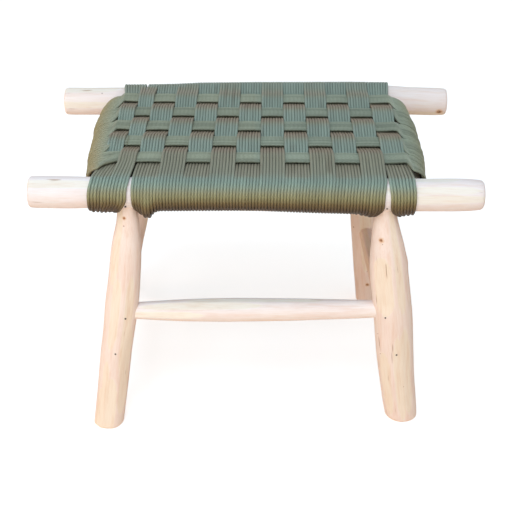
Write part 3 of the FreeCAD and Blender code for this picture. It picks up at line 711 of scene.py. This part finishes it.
def makeBranch(name, rows, node, settings):
    settings = {**branch, **settings}
    rows = evenRows(rows, branch["spacing"], branch["passes"])
    up = Vector(settings.get("up", (1, 0, 0)))
    shaver = random.Random(settings["seed"])
    length = branch["spacing"] * (len(rows) - 1)
    flats = list(settings.get("flats", []))
    for k in range(settings["flatCount"]):
        flats.append((shaver.uniform(0, 360), shaver.uniform(0, length), shaver.uniform(*branch["flatHalf"]),
                      shaver.uniform(*branch["flatDepth"])))
    # the rounded edges take the first and last millimetres of the branch
    stations = endRings(rows, 0, settings) + [(*row, 0.0) for row in rows[1:-1]] + endRings(rows, 1, settings)
    model = bmesh.new()
    grainLayer = model.verts.layers.float_vector.new("grainPoint")
    endLayer = model.verts.layers.float.new("endGrain")
    shavedLayer = model.verts.layers.float.new("shaved")
    ring = bmesh.ops.create_circle(model, segments=branch["sides"], radius=1.0)["verts"]
    edges = list({edge for vert in ring for edge in vert.link_edges})
    before = Matrix.Identity(4)
    rings = []
    for index, station in enumerate(stations):
        centre = Vector(station[:3])
        ahead = Vector(stations[min(index + branch["aim"], len(stations) - 1)][:3])
        behind = Vector(stations[max(index - branch["aim"], 0)][:3])
        along = (ahead - behind).normalized()
        if settings.get("foot") and centre.z < branch["upright"]:
            along = Vector((0, 0, 1)).lerp(along, max(0, centre.z) / branch["upright"]).normalized()
        side = (up - along * up.dot(along)).normalized()
        other = along.cross(side)
        radius = station[3] / 2
        turned = Matrix((side, other, along)).transposed().to_4x4()
        matrix = Matrix.Translation(centre) @ turned @ Matrix.Scale(radius, 4)
        if index:
            result = bmesh.ops.extrude_edge_only(model, edges=edges)["geom"]
            ring = [item for item in result if isinstance(item, bmesh.types.BMVert)]
            edges = [item for item in result if isinstance(item, bmesh.types.BMEdge)]
        bmesh.ops.transform(model, matrix=matrix @ before.inverted(), verts=ring)
        before = matrix
        rings.append((ring, centre, radius, station[4], side, other))
    # hew the round branch, and note the way along it and round it for the grain
    travelled, lastCentre = 0.0, rings[0][1]
    for ring, centre, radius, endShare, side, other in rings:
        travelled += (centre - lastCentre).length
        lastCentre = centre
        for vert in ring:
            arm = vert.co - centre
            angle = math.atan2(arm.dot(other), arm.dot(side))
            reach, shaved = 1.0, 0.0
            if radius > branch["solidFrom"] and endShare < 0.5:
                reach, shaved = hewnReach(angle, travelled, radius, flats, settings)
            vert.co = centre + arm * reach
            local = Vector((arm.dot(side), arm.dot(other), 0)) * mm
            vert[grainLayer] = (local.x, local.y, travelled * mm)
            vert[endLayer] = endShare
            vert[shavedLayer] = shaved
    for ring, *rest in (rings[0], rings[-1]):
        bmesh.ops.contextual_create(model, geom=list({edge for vert in ring for edge in vert.link_edges
                                                      if edge.is_boundary}))
    bmesh.ops.scale(model, vec=(mm, mm, mm), verts=model.verts)
    bmesh.ops.recalc_face_normals(model, faces=model.faces)
    mesh = bpy.data.meshes.new(name)
    for face in model.faces:
        face.smooth = True
    model.to_mesh(mesh)
    model.free()
    material = makeWoodMaterial(name + "PeeledWood", settings.get("knots", []), settings.get("paintedLightTint"))
    return addPiece(name, mesh, material, "peeled wood", node)


# legs: rows of height, x and diameter; y follows the lean from the rail to the foot
legs = {
    "frontLeft": {
        "node": "front_left_leg", "y": (-165, -181), "seed": 3, "flats": [
            (318, 95, 75, 0.07), (250, 190, 60, 0.05), (266, 20, 70, 0.1)],
        "knots": [(-173.1, 332, 2.4, "#8a5a3c"), (-174.1, 321, 1.3, "#a8795a"), (-196, 262, 1.0, "#b98f6c")],
        "rows": [(0, -212.3, 42.6), (14, -210.1, 42.7), (42, -206.2, 43), (69, -202.3, 43.4),
                 (96, -198.9, 43.6), (122, -195.6, 43.9), (148, -191.2, 44), (173, -187.3, 45.1),
                 (199, -183.7, 45.8), (224, -180.3, 44.7), (248, -177.4, 43.4), (273, -175, 42),
                 (297, -172.6, 37.8), (320, -170.1, 30.5), (333, -170.1, 27.6), (352, -170.1, 27)]},
    "frontRight": {
        "node": "front_right_leg", "y": (-165, -158), "seed": 4,
        "flats": [(243, 236, 48, 0.13), (300, 90, 80, 0.05), (228, 70, 60, 0.05)],
        "bulges": [(0, 261, 9, 1.2)],
        "knots": [(166.5, 303, 3.3, "#6e4a35"), (168.6, 297.5, 1.2, "#9a6a4a"), (171.9, 151, 1.1, "#b5876a"),
                  (177.3, 118, 1.2, "#a87c5c"), (199.7, 120, 1.1, "#b08566"), (213, 66, 1.5, "#b5896c"),
                  (205.9, 90, 1.3, "#b78d70")],
        "rows": [(0, 215.9, 46.2), (30, 211.3, 48.7), (59, 206.7, 50.2), (87, 202.6, 51.6),
                 (114, 199.4, 52.7), (142, 196.1, 54), (168, 193.5, 54.1), (195, 190.1, 53.6),
                 (221, 186, 53.3), (247, 182.5, 52.2), (259, 180.7, 50.9), (272, 179.3, 49.6),
                 (285, 177.7, 45.6), (297, 176, 41.6), (309, 174.4, 38), (321, 172.7, 34.6),
                 (334, 171.6, 29.6), (352, 171.4, 27)]},
    "rearLeft": {
        "node": "rear_left_leg", "y": (165, 181.2), "seed": 5,
        "rows": [(0, -228, 42.2), (92, -214.3, 44), (157, -201.8, 45.4), (239, -188.1, 43.6),
                 (290, -179, 39.5), (322, -172.7, 30), (334, -171, 27.4), (352, -171, 27)]},
    "rearRight": {
        "node": "rear_right_leg", "y": (165, 167), "seed": 6, "footEdge": 1.4,
        "knots": [(190, 40, 3.2, "#7a5540"), (162, 146, 1.5, "#8f6a52"), (188, 66, 1.0, "#8f6a52")],
        "rows": [(0, 195, 41.9), (85, 186.5, 43.7), (157, 179.5, 45), (239, 175.1, 43.2), (290, 172.7, 39.2),
                 (322, 171, 29.7), (334, 171, 27.4), (354, 171, 27)]},
}


def legPlace(leg, z):
    x, width = between(leg["rows"], z)
    foot, top = leg["rows"][0][1], leg["rows"][-1][1]
    lean = (x - top) / (foot - top)
    return (x, leg["y"][0] + (leg["y"][1] - leg["y"][0]) * lean, z, width)


def frontSpot(centre, radius, x, z, size, core):
    # a knot on the side of a branch that faces the front
    return ((x, centre[1] - math.sqrt(max(radius ** 2 - (x - centre[0]) ** 2, 1)), z), size, core)


for side, leg in legs.items():
    rows = [legPlace(leg, row[0]) for row in leg["rows"]]
    knots = [frontSpot(legPlace(leg, z), legPlace(leg, z)[3] / 2, x, z, size, core)
             for x, z, size, core in leg.get("knots", [])]
    # the legs' tint is painted light: warmer, as in the warm light from the front and below
    makeBranch(side + "Leg", rows, leg["node"], {
        "seed": leg["seed"], "edges": (leg.get("footEdge", 3.2), 1.5), "foot": True, "paintedLightTint": "#fcf4ed",
        "knots": knots, "flats": leg.get("flats", []), "flatCount": 6, "bulges": leg.get("bulges", [])})

rails = {
    "front": {
        # the front rail's tint is painted light: a little cooler, as in the cool light from above
        "node": "front_rail", "seed": 1, "paintedLightTint": "#f8fafd",
        "rows": [(-297.4, -165, 363.3, 41.8), (-284, -165, 363.2, 42.8), (-240, -165, 362.8, 42.6),
                 (-215, -165, 362.9, 41.0), (-120, -165, 363.2, 40.4), (-10, -165, 363.8, 39.2),
                 (50, -165, 363, 40.8), (130, -165, 362, 42.9), (215, -165, 362, 43.2),
                 (250, -165, 362.4, 43.4), (275, -165, 362.7, 43), (286, -165, 362.8, 42),
                 (298.4, -165, 362.8, 38.5)]},
    "rear": {
        "node": "rear_rail", "seed": 2,
        "knots": [((285, 146.2, 353.2), 5.2, "#4a2c20"), ((-240, 152.5, 378.5), 1.3, "#9c8f86"),
                  ((-236.5, 152.5, 377), 0.9, "#a89c92")],
        "rows": [(-299.4, 165, 360.4, 41.6), (-284, 165, 360.4, 42.8), (-240, 165, 361, 42.8),
                 (-170, 165, 362, 42.6), (-86, 165, 365, 42.6), (0, 165, 366.6, 42.8), (146, 165, 367.8, 43),
                 (200, 165, 367, 43.2), (240, 165, 364.6, 43.4), (284, 165, 363.6, 43.2),
                 (296.5, 165, 363.6, 41.6)]},
}
for side, rail in rails.items():
    makeBranch(side + "Rail", rail["rows"], rail["node"], {
        "seed": rail["seed"], "up": (0, 0, 1), "edges": (3.5, 3.5), "uneven": 0.01, "flatCount": 12,
        "paintedLightTint": rail.get("paintedLightTint"), "knots": rail.get("knots", [])})

# thinner towards their ends, where the turns are drawn in: place, shift to the middle, diameter
sideRails = {
    "height": 362,
    "places": {"left": -212.5, "right": 212.5},
    "seeds": {"left": 7, "right": 8},
    "rows": [(-158, 1.3, 19), (-140, 1.3, 19.5), (-127, 1.3, 22.4), (-110, 1.2, 24.4), (-90, 0.8, 28.2),
             (-55, 0.2, 32.4), (0, 0, 34), (60, 0, 34), (90, 0.6, 29.6), (118, 1.2, 26), (158, 1.3, 24)],
}
for side, x in sideRails["places"].items():
    rows = [(x - math.copysign(inward, x), y, sideRails["height"], width)
            for y, inward, width in sideRails["rows"]]
    makeBranch(side + "SideRail", rows, side + "_side_rail", {
        "seed": sideRails["seeds"][side], "up": (0, 0, 1)})


# stretchers: share of the length between the legs' axes, and share of the girth
stretchers = {
    "front": {"node": "front_stretcher", "legs": ("frontLeft", "frontRight"), "z": (183.8, 183.8),
              "girth": 33.4, "seed": 9, "shares": [(0, .66), (.03, .67), (.226, .93), (.404, 1),
                                                   (.651, .93), (.864, .79), (.98, .69), (1, .68)]},
    "rear": {"node": "rear_stretcher", "legs": ("rearLeft", "rearRight"), "z": (184, 184), "girth": 31,
             "seed": 10, "shares": [(0, .7), (.03, .72), (.3, .96), (.6, 1), (.97, .7), (1, .68)]},
    # the side stretchers' tints are painted shade: pinker and darker, as in the seat's shade
    "left": {"node": "left_stretcher", "legs": ("frontLeft", "rearLeft"), "z": (128, 128), "girth": 27,
             "seed": 12, "paintedLightTint": "#f4dfd0",
             "shares": [(0, .7), (.04, .8), (.35, 1), (.7, .97), (.96, .8), (1, .7)]},
    "right": {"node": "right_stretcher", "legs": ("frontRight", "rearRight"), "z": (125, 139), "girth": 26,
              "seed": 13, "paintedLightTint": "#fae8dc",
              "shares": [(0, .8), (.04, .86), (.35, 1), (.7, .97), (.96, .84), (1, .8)]},
}
for side, bar in stretchers.items():
    start = legPlace(legs[bar["legs"][0]], bar["z"][0])
    end = legPlace(legs[bar["legs"][1]], bar["z"][1])
    rows = [(*(a + (b - a) * share for a, b in zip(start[:3], end[:3])), bar["girth"] * girth)
            for share, girth in bar["shares"]]
    makeBranch(side + "Stretcher", rows, bar["node"], {
        "seed": bar["seed"], "up": (0, 0, 1), "flatCount": 7, "paintedLightTint": bar.get("paintedLightTint")})
print("branches made")


def makeNailMaterial():
    # bright wire nails gone dull and brown with age
    material, tree = startMaterial("agedWireNailSteel")
    place = addNode(tree, "TexCoord").outputs["Object"]
    rust = addNode(tree, "TexNoise", {"Vector": place, "Scale": 700.0, "Detail": 3.0})
    color = setRamp(addNode(tree, "ValToRGB", {"Fac": rust.outputs["Fac"]}), [
        (0.35, "#4a382e"), (0.65, "#6d6058")])
    shader = addNode(tree, "BsdfPrincipled", {"Base Color": color, "Metallic": 0.8, "Roughness": 0.55})
    addNode(tree, "OutputMaterial", {"Surface": shader})
    return material


nailMaterial = makeNailMaterial()
nails = {
    "head": (1.35, 0.9),          # radius, and how far the crown rises over it
    "shank": (0.95, 0.5, 31),     # radius under the head and at the tip, and length
    "middle": 16.5,               # of the shank, below the crown
    "nodes": {"railNails": "rail_nails", "stretcherNails": "stretcher_nails"},
    # where the heads' crowns are
    "railNails": [(-170.1, -183.8, 351.0), (171.4, -184.1, 351.0), (-171.0, 183.8, 352.8),
                  (171.0, 183.9, 352.8)],
    "stretcherNails": [(-177.8, -192.8, 183.8), (-194.2, -196.9, 128.0), (179.3, -186.5, 183.8),
                       (198.5, -187.6, 123.0), (-189.9, 194.1, 184.0), (-207.4, 198.2, 128.0),
                       (170.8, 188.0, 184.0), (181.6, 190.0, 135.0)],
}
for name, node in nails["nodes"].items():
    model = bmesh.new()
    width, rise = nails["head"]
    thick, thin, length = nails["shank"]
    for x, y, z in nails[name]:
        outside = math.copysign(1, y)
        head = Matrix.Translation((x, y - outside * rise, z)) @ Matrix.Diagonal((width, rise, width, 1))
        bmesh.ops.create_uvsphere(model, u_segments=16, v_segments=10, radius=1, matrix=head)
        shank = Matrix.Translation((x, y - outside * nails["middle"], z))
        shank = shank @ Matrix.Rotation(outside * math.pi / 2, 4, "X")
        bmesh.ops.create_cone(model, cap_ends=True, segments=12, radius1=thick, radius2=thin, depth=length,
                              matrix=shank)
    bmesh.ops.scale(model, vec=(mm, mm, mm), verts=model.verts)
    mesh = bpy.data.meshes.new(name)
    model.to_mesh(mesh)
    model.free()
    mesh.shade_smooth()
    addPiece(name, mesh, nailMaterial, "steel nail", node)
print("nails done")


# a white floor under a soft sky: dim and warm behind the stool, neutral in front, cool overhead
studio = {
    "floorSize": 12.0,
    "floorGlow": 0.5,
    "bounce": "#f0d4ba",
    "horizon": [(0.3, "#fff4e8"), (0.8, "#c8bbb0")],
    "overhead": "#e0effa",
    "worldStrength": 0.6,
    "lamps": {
        "topKey": {"place": (-0.25, -1.2, 2.1), "aim": (0, 0, 0.3), "size": 1.2, "power": 23,
                   "color": "#dcefff"},
        "frontFill": {"place": (-0.3, -2.6, 0.8), "aim": (0, 0, 0.25), "size": 1.5, "power": 3,
                      "color": "#ffeedd"},
        "lowFill": {"place": (-0.6, -2.1, 0.22), "aim": (0.1, 0, 0.2), "size": 0.8, "power": 12,
                    "color": "#f8f0e5"},
        "leftFill": {"place": (-2.3, 0.1, 0.75), "aim": (0, 0, 0.3), "size": 1.2, "power": 9.5,
                     "color": "#ffd4ae"},
    },
}


def seenDirectly(tree):
    # one for the camera's rays and for those through gloss and glass, so that these see the white
    rays = addNode(tree, "LightPath")
    seen = addNode(tree, "Math", {0: rays.outputs["Is Camera Ray"], 1: rays.outputs["Is Glossy Ray"]},
                   operation="MAXIMUM")
    return addNode(tree, "Math", {0: seen, 1: rays.outputs["Is Transmission Ray"]},
                   operation="MAXIMUM")


floorModel = bmesh.new()
bmesh.ops.create_grid(floorModel, x_segments=1, y_segments=1, size=studio["floorSize"])
floorMesh = bpy.data.meshes.new("floor")
floorModel.to_mesh(floorMesh)
floorModel.free()
floor = addObject("floor", floorMesh)
floorMaterial, tree = startMaterial("paperFloor")
white = addNode(tree, "BsdfDiffuse", {"Color": (1, 1, 1, 1)})
glow = addNode(tree, "Emission", {"Color": (1, 1, 1, 1), "Strength": studio["floorGlow"]})
shown = addNode(tree, "AddShader", {0: white, 1: glow})
bounce = addNode(tree, "BsdfDiffuse", {"Color": linearColor(studio["bounce"])})
mix = addNode(tree, "MixShader", {0: seenDirectly(tree), 1: bounce, 2: shown})
addNode(tree, "OutputMaterial", {"Surface": mix})
floorMesh.materials.append(floorMaterial)

world = bpy.data.worlds.new("studioWorld")
bpy.context.scene.world = world
world.use_nodes = True
tree = world.node_tree
tree.nodes.clear()
direction = addNode(tree, "SeparateXYZ", {
    "Vector": addNode(tree, "TexCoord").outputs["Generated"]}).outputs
rearward = addNode(tree, "Math", {0: direction["Y"], 1: 0.5, 2: 0.5}, operation="MULTIPLY_ADD")
horizon = setRamp(addNode(tree, "ValToRGB", {"Fac": rearward}), studio["horizon"])
sky = addNode(tree, "Mix", {0: direction["Z"], 6: horizon, 7: linearColor(studio["overhead"])},
              data_type="RGBA").outputs[2]
ambient = addNode(tree, "Background", {"Color": sky, "Strength": studio["worldStrength"]})
backdrop = addNode(tree, "Background", {"Color": (1, 1, 1, 1), "Strength": 1.0})
mix = addNode(tree, "MixShader", {0: seenDirectly(tree), 1: ambient, 2: backdrop})
addNode(tree, "OutputWorld", {"Surface": mix})

for name, lamp in studio["lamps"].items():
    lampData = bpy.data.lights.new(name, "AREA")
    lampData.shape = "SQUARE"
    lampData.size = lamp["size"]
    lampData.energy = lamp["power"]
    lampData.color = linearColor(lamp["color"])[:3]
    lampObject = addObject(name, lampData)
    aim = Vector(lamp["aim"]) - Vector(lamp["place"])
    turned = aim.to_track_quat("-Z", "Y").to_matrix().to_4x4()
    lampObject.matrix_world = Matrix.Translation(lamp["place"]) @ turned
bpy.context.scene.view_settings.view_transform = "Standard"
print("studio lit")
